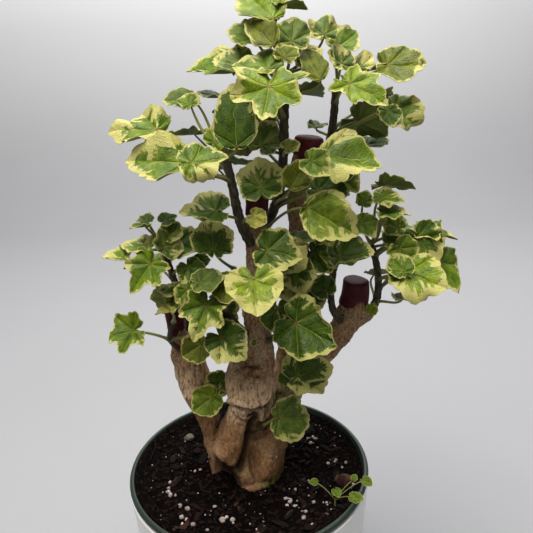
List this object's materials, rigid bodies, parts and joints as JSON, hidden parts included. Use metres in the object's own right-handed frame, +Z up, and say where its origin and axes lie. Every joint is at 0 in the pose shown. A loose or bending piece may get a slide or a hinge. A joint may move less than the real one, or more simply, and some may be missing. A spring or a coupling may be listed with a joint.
{
  "type": "potted aralia",
  "caption": "Stump-grown aralia with ridged leafy shoots and round, scalloped, cream-edged leaves, in a nursery pot inside a plain white outer pot.",
  "frame": {"origin": "centre of the outer pot's flat underside", "axes": "+Z up through the pot; -Y is the front that faces the viewer; +X is to the viewer's right"},
  "size_m": [0.218, 0.16, 0.4433],
  "materials": {
    "outer_pot": "plain white, soft sheen",
    "nursery_pot": "dark green, satin",
    "soil": "loose moist potting mix of peat and bark, with perlite",
    "bark": "rough tan-brown bark",
    "wax": "dark red grafting wax",
    "leaf": "living leaf, green with cream margins, waxy sheen"
  },
  "bodies": {
    "root": {"outer_pot": "outer_pot", "nursery_pot": "nursery_pot", "soil": "soil", "trunk": "bark", "wax_cap_centre": "wax", "wax_cap_right": "wax", "wax_cap_left": "wax", "wax_cap_back": "wax", "crown_shoot": "leaf", "top_right_shoot": "leaf", "upper_left_shoot": "leaf", "left_shoot": "leaf", "low_left_shoot": "leaf", "front_left_shoot": "leaf", "centre_shoot": "leaf", "back_shoot": "leaf", "centre_left_sprout": "leaf", "front_right_shoot": "leaf", "fork_inner_shoot": "leaf", "fork_outer_shoot": "leaf", "low_right_sprout": "leaf", "foot_sprout": "leaf", "crotch_sprout": "leaf", "seedling": "leaf"}
  },
  "joints": []
}
